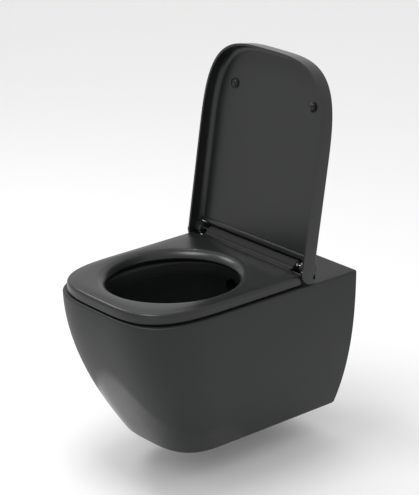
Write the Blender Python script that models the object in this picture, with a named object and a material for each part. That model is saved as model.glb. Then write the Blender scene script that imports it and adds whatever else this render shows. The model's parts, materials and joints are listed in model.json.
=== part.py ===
"""A wall-hung toilet: a hollow ceramic pan with its bowl, trapway and wall fixings, and a slim seat and lid
that turn on a quick-release hinge bar.

Metres, +Z up, the wall at y = 0 and the front of the pan towards -Y. The origin is on the wall face, midway
between the two wall fixing holes. The lid stands open and the seat is down.
"""

import math

import bmesh
import bpy
from mathutils import Matrix, Vector

# Pan, outside
PAN_WIDTH = 0.365
PAN_DEPTH = 0.552
PAN_HEIGHT = 0.330
RIM = 0.080                     # rim top above the wall fixing holes
SIDE_TAPER = 0.0610             # how far each side comes in by the base
FRONT_TAPER = 0.130             # how far the front comes back by the base
SIDE_SWEEP = 2.48               # exponents of the two tapers
FRONT_SWEEP = 1.72
RIM_CORNER = 0.203              # length of the rounded front at the rim and at the base
BASE_CORNER = 0.120
RIM_POWER = 3.66                # squareness of the outline at the rim and at the base
BASE_POWER = 3.15
RIM_EDGE = 0.004                # rounding of the rim's and the base's edge
BASE_EDGE = 0.006
OUTLINE_STEPS = 14

# Pan, walls
SKIN = 0.010
DECK = 0.018
FLOOR = 0.012
BACK_PLATE = 0.014
BOWL_WALL = 0.009

# Bowl
BOWL_SIDE_RIM = 0.0545          # from the bowl's edge to the pan's side, to its front and to the wall
BOWL_FRONT_RIM = 0.047
BOWL_REAR = 0.185
SUMP_REAR = 0.285               # sump centre to the wall
SUMP_FOOT = 0.046               # sump floor above the base
BOWL_POWER = 2.3
BOWL_SIDES = 40

# Trapway and its outlet spigot
TRAP_RADIUS = 0.028
TRAP_WALL = 0.008
TRAP_CREST = 0.030              # weir centre above the outlet centre
TRAP_LIFT = 0.003               # passage floor above the sump floor
OUTLET_RADIUS = 0.0430
OUTLET_DROP = 0.100             # outlet centre below the fixing holes
OUTLET_GAP = 0.0110             # room round the spigot for the waste connector
OUTLET_SEAL = (0.004, 0.034)    # its ends, forward of the wall

# Flush inlet
INLET_DROP = 0.045              # inlet centre below the rim
INLET_RADIUS = 0.0275
INLET_WALL = 0.009
INLET_DEPTH = 0.055
INLET_SEAL = (0.001, 0.032)
INLET_SEAL_WALL = 0.005
FLUSH_RADIUS = 0.018
FLUSH_REACH = 0.030             # how far the flush channel runs into the bowl

# Wall fixings and the openings they are reached through
FIXING_SPACING = 0.180
FIXING_HOLE = 0.0115
COLLAR = (0.005, 0.003)         # sleeve collar, beyond the hole and thick
STUD_HOLE = 0.0063
BRACKET = (0.026, 0.026, 0.040)
BRACKET_EDGE = 0.003
CLAMP_SCREW = 0.0030
CLAMP_HEAD = (0.0055, 0.005)
WINDOW_LOW = -0.120
WINDOW_HIGH = 0.045
WINDOW_GAP = 0.020              # from a fixing hole's centre
WINDOW_SIDE_RIM = 0.036
WINDOW_CORNER = 0.012
UNDERSIDE = (0.120, 0.050, 0.170)  # width of the opening in the base, and its ends forward of the wall
UNDERSIDE_CORNER = 0.020

# Seat and lid, measured up from the rim
SEAT_TOP = 0.0262
SEAT_UNDER = 0.0036
LID_PANEL = 0.0045
LID_GAP = 0.0079                # between the seat's crest and the closed lid
LID_TOP = SEAT_TOP + LID_GAP + LID_PANEL
LID_SKIRT = LID_TOP - SEAT_UNDER
LID_EDGE = 0.0035
HINGE_RISE = LID_TOP - 0.0077
HINGE_FROM_WALL = 0.1275
LID_OPEN = 98.6

# Lid, in plan
LID_SIDE_INSET = 0.0017         # lid's side in from the pan's
LID_OVERHANG = 0.0020           # lid's front beyond the pan's
LID_CORNER = 0.2300
LID_POWER = 3.64
LID_REAR = 0.0155               # panel's rear edge, forward of the axis
LID_LIP = (0.0090, 0.0038)      # thickness and depth of the rear lip
LID_BUFFER_RADIUS = 0.0105
LID_BUFFER_END = 0.0965         # from the lid's free end and from its side
LID_BUFFER_SIDE = 0.0623

# Seat, in plan
SEAT_SIDE_GAP = 0.0018          # between the seat's side and the closed lid's skirt
SEAT_REAR = 0.0185              # seat's rear edge, forward of the axis
SEAT_SHELL = 0.0100
SEAT_WALL = 0.0065
SEAT_EDGE = 0.0050
SEAT_CROWN = 0.0015             # fall from the crest to the rounded outer edge
SEAT_LIP = 0.0075               # width of the rolled edge round the opening
SEAT_CORNER_RADIUS = 0.010
SEAT_RAMP = 0.0026              # rise of the rear edge towards the hinge
HOOD_GAP = 0.0006               # hinge bar to the seat's hood over it
HOOD_WALL = 0.0020
HOOD_END = 40                   # its rear end, in degrees above the horizontal
OPENING_SIDE_RIM = 0.0535       # from the opening to the pan's side, to its front and to the wall
OPENING_FRONT_RIM = 0.060
OPENING_REAR = 0.205
BUFFER_RADIUS = 0.0090
BUFFER_FRONT = (0.0545, 0.082)  # front buffers, from the pan's side and front
BUFFER_REAR = (0.0425, 0.235)   # rear buffers, from the pan's side and the wall

# Hinge
POST_SPACING = 0.155
HINGE_HOLE = 0.0070
POST_GASKET = 0.0012
POST_FLANGE = (0.0140, 0.0024)
POST_STEM = 0.0060
BOLT = 0.0040
BOLT_LENGTH = 0.040
SLEEVE_LENGTH = 0.026
BAR_RADIUS = 0.0062
BAR_END_GAP = 0.0030            # bar's end to the seat's lug
DAMPER_RADIUS = 0.0047
DAMPER_LENGTH = 0.0480
DAMPER_SOCKET = 0.0100
SHAFT_RADIUS = 0.0024
LUG_RADIUS = 0.0143
SEAT_LUG_WIDTH = 0.0125
LID_LUG_WIDTH = 0.0203
LUG_GAP = 0.0182                # between the seat's lug and the lid's
BUSH = (0.0022, 0.0060)
TOWER = (0.024, 0.0105, 0.0170)  # width, reach forward and reach back of the axis
NECK = (0.0055, 0.0005)         # reach forward and back of the web between tower and bar
COVER = (0.0022, 0.0085, 0.0028)  # rear cover: thickness, rise above the axis, gap to the lid's skirts
TOWER_ROOM = 0.0008             # between a tower and the turning hood
SOCKET_ROOF = 0.0020
TOWER_GAP = 0.0009
LATCH = (0.0074, 0.0034)
LATCH_TRAVEL = 0.0035
LATCH_HEAD = (0.0140, 0.0030, 0.0150)
LATCH_RISE = 0.0105
BUTTON_RISE = 0.0060
GROOVE = (0.0014, 0.0016, 0.0024)  # latch groove in the post: depth, and half height at its floor and mouth
SPRING_RISE = 0.0163
SPRING_RADIUS = 0.0021
SPRING_WIRE = 0.00045
SPRING_LENGTH = 0.0062
SPRING_TURNS = 5

CLEAR = 0.0003                  # between touching pieces
FIT = 0.0005                    # round a piece that turns or slides
OVER = 0.010                    # how far a cutter runs past the face that it goes through

# Worked out from the sizes above
BASE = RIM - PAN_HEIGHT
BOWL_HALF_WIDTH = PAN_WIDTH / 2 - BOWL_SIDE_RIM
BOWL_HALF_LENGTH = (PAN_DEPTH - BOWL_FRONT_RIM - BOWL_REAR) / 2
BOWL_CENTRE = -BOWL_REAR - BOWL_HALF_LENGTH
SUMP_CENTRE = -SUMP_REAR
SUMP_DEPTH = PAN_HEIGHT - SUMP_FOOT
SPIGOT_RADIUS = OUTLET_RADIUS + TRAP_WALL
LID_HALF_WIDTH = PAN_WIDTH / 2 - LID_SIDE_INSET
LID_LENGTH = PAN_DEPTH - HINGE_FROM_WALL + LID_OVERHANG
LID_INSIDE = LID_HALF_WIDTH - LID_PANEL
LID_LUG_INNER = LID_INSIDE - LID_LUG_WIDTH
SEAT_LUG = (LID_LUG_INNER - LUG_GAP - SEAT_LUG_WIDTH, LID_LUG_INNER - LUG_GAP)
BAR_HALF_LENGTH = SEAT_LUG[0] - BAR_END_GAP
OPENING_HALF_WIDTH = PAN_WIDTH / 2 - OPENING_SIDE_RIM
OPENING_HALF_LENGTH = (PAN_DEPTH - OPENING_FRONT_RIM - OPENING_REAR) / 2
OPENING_CENTRE = -OPENING_REAR - OPENING_HALF_LENGTH
OUTLET = Vector((0, 0, -OUTLET_DROP))
INLET = Vector((0, 0, RIM - INLET_DROP))
AXIS = Vector((0, -HINGE_FROM_WALL, RIM + HINGE_RISE))
SPRING_START = AXIS.y + POST_STEM + 0.0022
HOOD = (BAR_RADIUS + HOOD_GAP, BAR_RADIUS + HOOD_GAP + HOOD_WALL)
SIDES = {"left": -1, "right": 1}

MATERIALS = {
    "matt_ceramic": ((0.035, 0.037, 0.037), 0.45, 0.0),
    "thermoset": ((0.038, 0.040, 0.040), 0.50, 0.0),
    "hinge_plastic": ((0.012, 0.012, 0.013), 0.45, 0.0),
    "rubber": ((0.018, 0.018, 0.018), 0.75, 0.0),
    "steel": ((0.62, 0.62, 0.60), 0.25, 1.0),
    "white_plastic": ((0.70, 0.70, 0.68), 0.45, 0.0),
}


# ---------------------------------------------------------------- shapes


def material(name):
    found = bpy.data.materials.get(name)
    if found:
        return found
    colour, roughness, metallic = MATERIALS[name]
    found = bpy.data.materials.new(name)
    found.use_nodes = True
    surface = found.node_tree.nodes["Principled BSDF"]
    surface.inputs["Base Color"].default_value = (*colour, 1)
    surface.inputs["Roughness"].default_value = roughness
    surface.inputs["Metallic"].default_value = metallic
    return found


def add(name, shape, finish=None, carrier=None):
    """A bmesh as an object. With no finish it is a guide that the other pieces are cut or joined with."""
    bmesh.ops.recalc_face_normals(shape, faces=shape.faces)
    mesh = bpy.data.meshes.new(name)
    shape.to_mesh(mesh)
    shape.free()
    piece = bpy.data.objects.new(name, mesh)
    bpy.context.scene.collection.objects.link(piece)
    if finish:
        mesh.materials.append(material(finish))
        mesh.shade_smooth()
        mesh.set_sharp_from_angle(angle=math.radians(35))
    else:
        piece.hide_render = True
        piece.display_type = "WIRE"
    if carrier:
        piece.parent = carrier
        piece.matrix_parent_inverse = Matrix.Translation(-AXIS)
    return piece


def axis_empty(name):
    """An empty on the hinge axis that carries the pieces of one body."""
    empty = bpy.data.objects.new(name, None)
    empty.location = AXIS
    bpy.context.scene.collection.objects.link(empty)
    return empty


def loft(rings):
    """A closed solid through rings of equally many points."""
    shape = bmesh.new()
    rows = [[shape.verts.new(point) for point in ring] for ring in rings]
    for below, above in zip(rows, rows[1:]):
        for i in range(len(below)):
            j = (i + 1) % len(below)
            shape.faces.new((below[i], below[j], above[j], above[i]))
    shape.faces.new(rows[0])
    shape.faces.new(rows[-1])
    return shape


def hoop(sections):
    """A closed ring through sections of equally many points, the last one joined to the first."""
    shape = bmesh.new()
    rows = [[shape.verts.new(point) for point in section] for section in sections]
    for this, following in zip(rows, rows[1:] + rows[:1]):
        for i in range(len(this)):
            j = (i + 1) % len(this)
            shape.faces.new((this[i], this[j], following[j], following[i]))
    return shape


def turned(profile, centre=(0, 0, 0), along="Z", steps=24, bore=False):
    """A solid of revolution from (radius, height) pairs. With a bore, the profile closes on itself."""
    place = Matrix.Translation(centre)
    if along == "X":
        place = place @ Matrix.Rotation(math.pi / 2, 4, "Y")
    if along == "Y":
        place = place @ Matrix.Rotation(-math.pi / 2, 4, "X")
    turns = [math.tau * i / steps for i in range(steps)]
    rings = [
        [place @ Vector((radius * math.cos(t), radius * math.sin(t), height)) for t in turns]
        for radius, height in profile
    ]
    if not bore:
        return loft(rings)
    return hoop([[ring[i] for ring in rings] for i in range(steps)])


def rod(radius, start, end, centre=(0, 0, 0), along="Z", steps=24, edge=0.0):
    """A cylinder from start to end along an axis through centre, with its end edges chamfered."""
    if edge:
        profile = [(radius - edge, start), (radius, start + edge), (radius, end - edge), (radius - edge, end)]
    else:
        profile = [(radius, start), (radius, end)]
    return turned(profile, centre, along, steps)


def tube(inner, outer, start, end, centre=(0, 0, 0), along="Z", steps=24, edge=0.0):
    profile = [(inner, start), (outer - edge, start), (outer, start + edge)]
    profile += [(outer, end - edge), (outer - edge, end), (inner, end)]
    if not edge:
        profile = [(inner, start), (outer, start), (outer, end), (inner, end)]
    return turned(profile, centre, along, steps, bore=True)


def block(low, high):
    shape = bmesh.new()
    bmesh.ops.create_cube(shape, size=1)
    low, high = Vector(low), Vector(high)
    size = high - low
    place = Matrix.Translation((low + high) / 2) @ Matrix.Diagonal((*size, 1))
    bmesh.ops.transform(shape, matrix=place, verts=shape.verts)
    return shape


def rounded_block(low, high, radius, along="Z", steps=5):
    """A box with its four edges along one axis rounded."""
    shape = block(low, high)
    index = "XYZ".index(along)
    edges = [
        edge
        for edge in shape.edges
        if abs((edge.verts[0].co - edge.verts[1].co)[index]) > 1e-6
    ]
    bmesh.ops.bevel(
        shape, geom=edges, offset=radius, segments=steps, affect="EDGES", profile=0.5
    )
    return shape


def plate(points, start, end):
    """An outline in the YZ plane, made a solid from x = start to x = end."""
    return loft([[(x, y, z) for y, z in points] for x in (start, end)])


def cut(piece, cutter):
    boolean = piece.modifiers.new("cut_" + cutter.name, "BOOLEAN")
    boolean.operation = "DIFFERENCE"
    boolean.object = cutter


def join(piece, other):
    boolean = piece.modifiers.new("join_" + other.name, "BOOLEAN")
    boolean.operation = "UNION"
    boolean.object = other


def keep_inside(piece, other):
    boolean = piece.modifiers.new("keep_" + other.name, "BOOLEAN")
    boolean.operation = "INTERSECT"
    boolean.object = other


def arc(centre, radius, start, end, steps):
    """Points on an arc in a plane, angles in degrees."""
    angles = [math.radians(start + (end - start) * i / steps) for i in range(steps + 1)]
    return [(centre[0] + radius * math.cos(a), centre[1] + radius * math.sin(a)) for a in angles]


def bowed_front(half_width, front, corner, power, back, steps=OUTLINE_STEPS):
    """A plan outline with straight sides and a rounded, squarish front."""
    quarter = []
    for i in range(steps + 1):
        turn = math.pi / 2 * i / steps
        across = half_width * math.sin(turn) ** (2 / power)
        ahead = corner * math.cos(turn) ** (2 / power)
        quarter.append((across, front + corner - ahead))
    right = quarter[::-1]
    left = [(-x, y) for x, y in quarter[1:]]
    return [(half_width, back)] + right + left + [(-half_width, back)]


def oval(centre, half_width, half_length, power=2.0, sides=BOWL_SIDES):
    points = []
    for i in range(sides):
        turn = math.tau * i / sides
        c, s = math.cos(turn), math.sin(turn)
        across = half_width * math.copysign(abs(c) ** (2 / power), c)
        along = half_length * math.copysign(abs(s) ** (2 / power), s)
        points.append((across, centre + along))
    return points


def at(points, z):
    return [(x, y, z) for x, y in points]


def smooth(value):
    value = min(max(value, 0.0), 1.0)
    return value * value * (3 - 2 * value)


# ---------------------------------------------------------------- pan


def pan_section(depth, inset, back):
    """The pan's outline at a depth below the rim, moved in by inset."""
    share = depth / PAN_HEIGHT
    half_width = PAN_WIDTH / 2 - SIDE_TAPER * share**SIDE_SWEEP - inset
    front = -PAN_DEPTH + FRONT_TAPER * share**FRONT_SWEEP + inset
    corner = RIM_CORNER + (BASE_CORNER - RIM_CORNER) * share - inset
    power = RIM_POWER + (BASE_POWER - RIM_POWER) * share
    return bowed_front(half_width, front, corner, power, back)


def pan_outside():
    rings = [(0.0, RIM_EDGE)]
    for rise, run in arc((0, 0), RIM_EDGE, 60, 0, 2):
        rings.append((RIM_EDGE - run, RIM_EDGE - rise))
    steps = 9
    first, last = RIM_EDGE, PAN_HEIGHT - BASE_EDGE
    rings += [(first + (last - first) * i / steps, 0.0) for i in range(1, steps + 1)]
    for rise, run in arc((0, 0), BASE_EDGE, 45, 90, 1):
        rings.append((PAN_HEIGHT - BASE_EDGE + run, BASE_EDGE - rise))
    return loft([at(pan_section(depth, inset, 0.0), RIM - depth) for depth, inset in rings])


def pan_hollow():
    """The room between the bowl and the skin."""
    steps = 6
    first, last = DECK, PAN_HEIGHT - FLOOR
    depths = [first + (last - first) * i / steps for i in range(steps + 1)]
    return loft([at(pan_section(depth, SKIN, -BACK_PLATE), RIM - depth) for depth in depths])


def bowl_rings(wall, top):
    """The bowl as a stack of ovals from its mouth to its sump; wall grows them outwards."""
    shares = [
        # depth, width, length and shift towards the sump, each as a share of its full value
        (0.09, 0.99, 0.99, 0.00),
        (0.25, 0.945, 0.94, 0.08),
        (0.44, 0.82, 0.82, 0.25),
        (0.62, 0.63, 0.64, 0.50),
        (0.78, 0.44, 0.44, 0.75),
        (0.92, 0.28, 0.28, 0.92),
        (1.00, 0.15, 0.15, 1.00),
    ]
    rings = [(top, BOWL_CENTRE, BOWL_HALF_WIDTH + wall, BOWL_HALF_LENGTH + wall)]
    for depth, width, length, shift in shares:
        z = RIM - SUMP_DEPTH * depth - (wall if depth == 1 else 0)
        centre = BOWL_CENTRE + (SUMP_CENTRE - BOWL_CENTRE) * shift
        rings.append((z, centre, BOWL_HALF_WIDTH * width + wall, BOWL_HALF_LENGTH * length + wall))
    return [at(oval(c, w, l, BOWL_POWER), z) for z, c, w, l in rings]


def trapway(wall, past):
    """The passage from the sump, up over its weir and back to the outlet, as rings across its centre line."""
    outlet = -OUTLET_DROP
    sump = RIM - SUMP_DEPTH + TRAP_RADIUS + TRAP_LIFT
    crest = outlet + TRAP_CREST
    wider = OUTLET_RADIUS - TRAP_RADIUS
    route = [
        # y, z and radius
        (SUMP_CENTRE - 0.010, sump + 0.002, TRAP_RADIUS),
        (SUMP_CENTRE + 0.025, sump, TRAP_RADIUS),
        (SUMP_CENTRE + 0.062, sump + (crest - sump) * 0.175, TRAP_RADIUS),
        (SUMP_CENTRE + 0.088, sump + (crest - sump) * 0.466, TRAP_RADIUS),
        (SUMP_CENTRE + 0.112, sump + (crest - sump) * 0.777, TRAP_RADIUS),
        (SUMP_CENTRE + 0.140, crest, TRAP_RADIUS + wider * 0.07),
        (SUMP_CENTRE + 0.180, outlet + TRAP_CREST * 0.80, TRAP_RADIUS + wider * 0.33),
        (SUMP_CENTRE + 0.220, outlet + TRAP_CREST * 0.27, TRAP_RADIUS + wider * 0.73),
        (-0.040, outlet, OUTLET_RADIUS),
        (-0.002 + past, outlet, OUTLET_RADIUS),
    ]
    rings = []
    sides = 24
    straight = -0.050
    across = Vector((1, 0, 0))
    for i, (y, z, radius) in enumerate(route):
        before = route[max(i - 1, 0)]
        after = route[min(i + 1, len(route) - 1)]
        along = Vector((0, after[0] - before[0], after[1] - before[1])).normalized()
        if y > straight:
            along = Vector((0, 1, 0))
        up = across.cross(along)
        full = radius + wall
        ring = []
        for k in range(sides):
            turn = math.tau * k / sides
            ring.append(Vector((0, y, z)) + (across * math.cos(turn) + up * math.sin(turn)) * full)
        rings.append(ring)
    return loft(rings)


def make_pan():
    pan = add("pan", pan_outside(), "matt_ceramic")
    cut(pan, add("pan_hollow_cutter", pan_hollow()))
    join(pan, add("bowl_wall_guide", loft(bowl_rings(BOWL_WALL, RIM - DECK / 2))))
    room = rod(SPIGOT_RADIUS + OUTLET_GAP, -BACK_PLATE - OVER, OVER, OUTLET, "Y", 32)
    cut(pan, add("connector_room_cutter", room))
    join(pan, add("trap_wall_guide", trapway(TRAP_WALL, 0.0)))
    feed = rod(INLET_RADIUS + INLET_WALL, -BOWL_REAR - BOWL_WALL / 2, -BACK_PLATE / 2, INLET, "Y", 28)
    join(pan, add("inlet_wall_guide", feed))
    cut(pan, add("bowl_cutter", loft(bowl_rings(0.0, RIM + OVER))))
    cut(pan, add("trap_cutter", trapway(0.0, OVER)))
    cut(pan, add("inlet_cutter", rod(INLET_RADIUS, -INLET_DEPTH, OVER, INLET, "Y", 28)))
    flush = rod(FLUSH_RADIUS, -BOWL_REAR - FLUSH_REACH, -INLET_DEPTH + OVER, INLET, "Y", 20)
    cut(pan, add("flush_cutter", flush))
    for side, sign in SIDES.items():
        fixing = (sign * FIXING_SPACING / 2, 0, 0)
        hole = rod(FIXING_HOLE, -BACK_PLATE - OVER, OVER, fixing, "Y")
        cut(pan, add(f"fixing_{side}_cutter", hole))
        hinge = (sign * POST_SPACING / 2, AXIS.y, RIM)
        cut(pan, add(f"hinge_{side}_cutter", rod(HINGE_HOLE, -DECK - OVER, OVER, hinge)))
        inner = FIXING_SPACING / 2 + WINDOW_GAP
        outer = PAN_WIDTH / 2 - WINDOW_SIDE_RIM
        left, right = sorted((sign * inner, sign * outer))
        corner = min(WINDOW_CORNER, 0.4 * (outer - inner))
        low, high = (left, -BACK_PLATE - OVER, WINDOW_LOW), (right, OVER, WINDOW_HIGH)
        cut(pan, add(f"window_{side}_cutter", rounded_block(low, high, corner, "Y")))
    width, rear, front = UNDERSIDE
    low, high = (-width / 2, -front, BASE - OVER), (width / 2, -rear, BASE + FLOOR + OVER)
    cut(pan, add("underside_cutter", rounded_block(low, high, UNDERSIDE_CORNER)))
    return pan


def make_connections():
    start, end = (-edge for edge in OUTLET_SEAL[::-1])
    outer = SPIGOT_RADIUS + OUTLET_GAP - 0.002
    seal = tube(SPIGOT_RADIUS + CLEAR, outer, start, end, OUTLET, "Y", 32, 0.002)
    add("outlet_seal", seal, "rubber")
    start, end = (-edge for edge in INLET_SEAL[::-1])
    seal = tube(INLET_RADIUS - INLET_SEAL_WALL, INLET_RADIUS - CLEAR, start, end, INLET, "Y", 28, 0.001)
    add("flush_inlet_seal", seal, "rubber")


def make_wall_fixings():
    width, depth, height = BRACKET
    beyond, thick = COLLAR
    for side, sign in SIDES.items():
        x = sign * FIXING_SPACING / 2
        centre = (x, 0, 0)
        face = -BACK_PLATE - CLEAR
        collar = face - thick
        profile = [
            (STUD_HOLE, -CLEAR), (STUD_HOLE, collar), (FIXING_HOLE + beyond, collar),
            (FIXING_HOLE + beyond, face), (FIXING_HOLE - FIT, face), (FIXING_HOLE - FIT, -CLEAR),
        ]
        add(f"fixing_sleeve_{side}", turned(profile, centre, "Y", bore=True), "white_plastic")
        front, rear = collar - CLEAR - depth, collar - CLEAR
        low, high = (x - width / 2, front, -height / 2), (x + width / 2, rear, height / 2)
        bracket = add(f"fixing_bracket_{side}", rounded_block(low, high, BRACKET_EDGE, "Y", 2), "steel")
        stud = rod(STUD_HOLE, front - OVER, rear + OVER, centre, "Y", 20)
        cut(bracket, add(f"stud_{side}_cutter", stud))
        screw_centre = (x, (front + rear) / 2, 0)
        thread = rod(CLAMP_SCREW + FIT, -height / 2 - OVER, 0, screw_centre, "Z", 16)
        cut(bracket, add(f"clamp_{side}_cutter", thread))
        tip = -STUD_HOLE - 0.001
        head = -height / 2 - CLEAR
        across, deep = CLAMP_HEAD
        profile = [(CLAMP_SCREW, tip), (CLAMP_SCREW, head), (across, head), (across, head - deep)]
        add(f"clamp_screw_{side}", turned(profile, screw_centre, "Z", 12), "steel")


# ---------------------------------------------------------------- hinge


def make_posts():
    flange, flange_rise = POST_FLANGE
    depth, floor, mouth = GROOVE
    foot = POST_GASKET + CLEAR
    top = HINGE_RISE - HOOD[1] - TOWER_ROOM - SOCKET_ROOF - 0.0010
    nut = -SLEEVE_LENGTH - CLEAR
    for side, sign in SIDES.items():
        centre = (sign * POST_SPACING / 2, AXIS.y, RIM)
        add(f"post_gasket_{side}", tube(HINGE_HOLE, flange, CLEAR, POST_GASKET, centre), "rubber")
        profile = [
            (BOLT - 0.001, -BOLT_LENGTH), (BOLT, 0.001 - BOLT_LENGTH), (BOLT, foot),
            (flange - 0.0015, foot), (flange, foot + 0.0006), (flange - 0.001, foot + flange_rise * 0.75),
            (POST_STEM + 0.001, foot + flange_rise), (POST_STEM, foot + flange_rise + 0.001),
            (POST_STEM, LATCH_RISE - mouth), (POST_STEM - depth, LATCH_RISE - floor),
            (POST_STEM - depth, LATCH_RISE + floor), (POST_STEM, LATCH_RISE + mouth),
            (POST_STEM, top - 0.0015), (POST_STEM - 0.0015, top),
        ]
        add(f"hinge_post_{side}", turned(profile, centre), "steel")
        sleeve = tube(BOLT + CLEAR, HINGE_HOLE - CLEAR, -SLEEVE_LENGTH, -CLEAR, centre)
        add(f"expansion_sleeve_{side}", sleeve, "rubber")
        profile = [
            (BOLT + CLEAR, nut), (HINGE_HOLE - 0.0008, nut), (HINGE_HOLE + 0.0015, nut - 0.004),
            (HINGE_HOLE + 0.0015, nut - 0.009), (BOLT + CLEAR, nut - 0.009),
        ]
        add(f"cone_nut_{side}", turned(profile, centre, bore=True), "steel")


def coil(radius, wire, turns, length, steps=12, sides=6):
    """A close coil of wire along +Y from the origin."""
    rings = []
    count = turns * steps
    for i in range(count + 1):
        turn = math.tau * i / steps
        outward = Vector((math.cos(turn), 0, math.sin(turn)))
        middle = outward * radius + Vector((0, length * i / count, 0))
        ring = []
        for k in range(sides):
            a = math.tau * k / sides
            ring.append(middle + outward * wire * math.cos(a) + Vector((0, wire * math.sin(a), 0)))
        rings.append(ring)
    return loft(rings)


def make_hinge_bar():
    """A thin bar on the axis, a tower over each post, and an upright cover along the rear."""
    carrier = axis_empty("hinge_carrier")
    body = rod(BAR_RADIUS, -BAR_HALF_LENGTH, BAR_HALF_LENGTH, AXIS, "X", 32, 0.001)
    bar = add("hinge_bar", body, "hinge_plastic", carrier)
    width, ahead, behind = TOWER
    front, rear = AXIS.y - ahead, AXIS.y + behind
    foot = RIM + POST_GASKET + CLEAR + POST_FLANGE[1] + TOWER_GAP
    tower_top = AXIS.z - HOOD[1] - TOWER_ROOM
    socket_top = tower_top - SOCKET_ROOF
    for side, sign in SIDES.items():
        x = sign * POST_SPACING / 2
        left, right = x - width / 2, x + width / 2
        tower = block((left, front, foot), (right, rear, tower_top))
        join(bar, add(f"tower_{side}_guide", tower, None, carrier))
        web = block((left, AXIS.y - NECK[0], tower_top - 0.001), (right, AXIS.y + NECK[1], AXIS.z - 0.002))
        join(bar, add(f"web_{side}_guide", web, None, carrier))
    thick, rise, gap = COVER
    reach = LID_INSIDE - gap
    cover = rounded_block((-reach, rear - thick, foot), (reach, rear, AXIS.z + rise), 0.0008, "X", 2)
    join(bar, add("cover_guide", cover, None, carrier))
    for side, sign in SIDES.items():
        x = sign * POST_SPACING / 2
        socket = rod(POST_STEM + FIT, RIM - OVER, socket_top, (x, AXIS.y, 0))
        cut(bar, add(f"socket_{side}_cutter", socket, None, carrier))
        wide, high = LATCH[0] / 2 + FIT, LATCH[1] / 2 + FIT
        z = RIM + LATCH_RISE
        slot = block((x - wide, AXIS.y, z - high), (x + wide, rear + OVER, z + high))
        cut(bar, add(f"latch_{side}_cutter", slot, None, carrier))
        room = SPRING_RADIUS + SPRING_WIRE + FIT
        pocket = rod(room, SPRING_START, rear + OVER, (x, 0, RIM + SPRING_RISE), "Y", 16)
        cut(bar, add(f"spring_{side}_cutter", pocket, None, carrier))
        inner = sign * (BAR_HALF_LENGTH - DAMPER_LENGTH - 0.003)
        outer = sign * (BAR_HALF_LENGTH + OVER)
        bore = rod(DAMPER_RADIUS + CLEAR, *sorted((inner, outer)), AXIS, "X", 24)
        cut(bar, add(f"damper_{side}_cutter", bore, None, carrier))
    return carrier


def make_latches(carrier):
    wide, thick, high = LATCH_HEAD
    z = RIM + LATCH_RISE
    low = RIM + BUTTON_RISE
    start = AXIS.y + POST_STEM + LATCH_TRAVEL + 0.0010
    head = AXIS.y + TOWER[2] + LATCH_TRAVEL + FIT
    for side, sign in SIDES.items():
        x = sign * POST_SPACING / 2
        bolt_low = (x - LATCH[0] / 2, start, z - LATCH[1] / 2)
        bolt_high = (x + LATCH[0] / 2, head + 0.001, z + LATCH[1] / 2)
        latch = add(f"latch_{side}", block(bolt_low, bolt_high), "hinge_plastic", carrier)
        button_low = (x - wide / 2, head, low)
        button_high = (x + wide / 2, head + thick, low + high)
        button = rounded_block(button_low, button_high, 0.002, "Y", 3)
        join(latch, add(f"button_{side}_guide", button, None, carrier))
        spring = coil(SPRING_RADIUS, SPRING_WIRE, SPRING_TURNS, SPRING_LENGTH)
        place = (x, SPRING_START + SPRING_WIRE + FIT, RIM + SPRING_RISE)
        bmesh.ops.translate(spring, vec=place, verts=spring.verts)
        add(f"latch_spring_{side}", spring, "steel", carrier)


def make_dampers(carrier, seat_axis, lid_axis):
    """The right damper brakes the seat and the left one the lid, whose shaft runs through the seat's lug."""
    inner = BAR_HALF_LENGTH - DAMPER_LENGTH
    bore = SHAFT_RADIUS + FIT
    face = BAR_HALF_LENGTH - DAMPER_SOCKET
    profile = [
        (bore, face), (bore, BAR_HALF_LENGTH), (DAMPER_RADIUS, BAR_HALF_LENGTH),
        (DAMPER_RADIUS, inner), (0.001, inner), (0.001, face),
    ]
    mirrored = [(radius, -height) for radius, height in profile]
    add("seat_damper", turned(profile, AXIS, "X", bore=True), "hinge_plastic", carrier)
    add("lid_damper", turned(mirrored, AXIS, "X", bore=True), "hinge_plastic", carrier)
    deep = face + CLEAR
    half_lug = (SEAT_LUG[0] + SEAT_LUG[1]) / 2
    add("seat_damper_shaft", rod(SHAFT_RADIUS, deep, half_lug, AXIS, "X", 20, 0.0004), "steel", seat_axis)
    in_lid = LID_INSIDE - 0.003
    add("lid_damper_shaft", rod(SHAFT_RADIUS, -in_lid, -deep, AXIS, "X", 20, 0.0004), "steel", lid_axis)
    start = half_lug + 0.001
    add("lid_pivot_pin", rod(SHAFT_RADIUS, start, in_lid, AXIS, "X", 20, 0.0004), "steel", lid_axis)


# ---------------------------------------------------------------- seat


def seat_front():
    return AXIS.y - LID_LENGTH + LID_PANEL + SEAT_SIDE_GAP


def seat_half_width():
    return LID_INSIDE - SEAT_SIDE_GAP


def seat_outline():
    """The seat's plan outline: straight back with small corners, straight sides, squarish front."""
    half = seat_half_width()
    back = AXIS.y - SEAT_REAR
    inset = LID_PANEL + SEAT_SIDE_GAP
    front = bowed_front(half, seat_front(), LID_CORNER - inset, LID_POWER, back, OUTLINE_STEPS + 2)
    start = front[1][1]
    radius = SEAT_CORNER_RADIUS
    side_points = [(half, back - radius + (start - back + radius) * i / 4) for i in range(1, 4)]
    corner = arc((half - radius, back - radius), radius, 90, 0, 4)
    across = half - radius
    rear = [(-across + 2 * across * i / 14, back) for i in range(1, 14)]
    right = corner + side_points
    left = [(-x, y) for x, y in reversed(right)]
    return right + front[1:-1] + left + rear


def opening_point(x, y):
    """Where the line from the opening's centre through (x, y) crosses the opening's edge."""
    away = Vector((x, y - OPENING_CENTRE))
    scale = 1 / math.hypot(away.x / OPENING_HALF_WIDTH, away.y / OPENING_HALF_LENGTH)
    return Vector((away.x * scale, OPENING_CENTRE + away.y * scale))


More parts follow.
